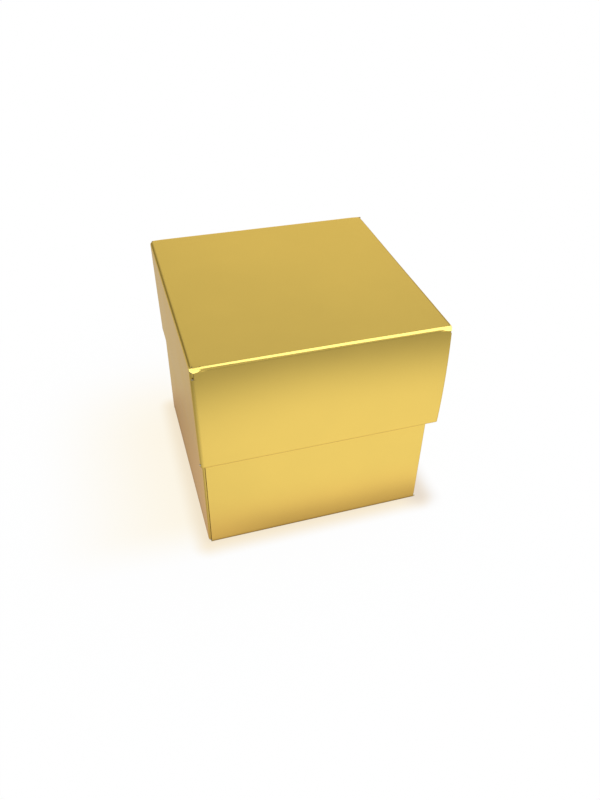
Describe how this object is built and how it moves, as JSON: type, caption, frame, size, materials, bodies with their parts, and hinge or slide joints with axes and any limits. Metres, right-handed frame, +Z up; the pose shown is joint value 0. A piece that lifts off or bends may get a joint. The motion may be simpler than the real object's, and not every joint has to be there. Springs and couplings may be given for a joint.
{
  "type": "favor box",
  "caption": "Square two-piece favor box of satin gold foil card: a folded base tray and a shallower telescoping lid tray that lifts off.",
  "frame": {"origin": "centre of the base's underside, on the surface that the box stands on", "axes": "+Z up towards the lid's top; -Y towards the front, the side of a doubled wall that the picture shows; +X to the right seen from the front"},
  "size_m": [0.0524, 0.0534, 0.0494],
  "materials": {
    "gold_foil_card": "satin"
  },
  "bodies": {
    "base": {"base_bottom_panel": "gold_foil_card", "base_front_wall": "gold_foil_card", "base_back_wall": "gold_foil_card", "base_left_wall": "gold_foil_card", "base_right_wall": "gold_foil_card", "base_front_inner_wall": "gold_foil_card", "base_back_inner_wall": "gold_foil_card", "base_front_left_flap": "gold_foil_card", "base_front_right_flap": "gold_foil_card", "base_back_left_flap": "gold_foil_card", "base_back_right_flap": "gold_foil_card"},
    "lid": {"lid_top_panel": "gold_foil_card", "lid_front_wall": "gold_foil_card", "lid_back_wall": "gold_foil_card", "lid_left_wall": "gold_foil_card", "lid_right_wall": "gold_foil_card", "lid_front_inner_wall": "gold_foil_card", "lid_back_inner_wall": "gold_foil_card", "lid_front_left_flap": "gold_foil_card", "lid_front_right_flap": "gold_foil_card", "lid_back_left_flap": "gold_foil_card", "lid_back_right_flap": "gold_foil_card"}
  },
  "joints": [
    {"name": "lid_lift", "type": "slide", "parent": "base", "child": "lid", "axis": [0, 0, 1], "range_m": [0, 0.06]}
  ]
}
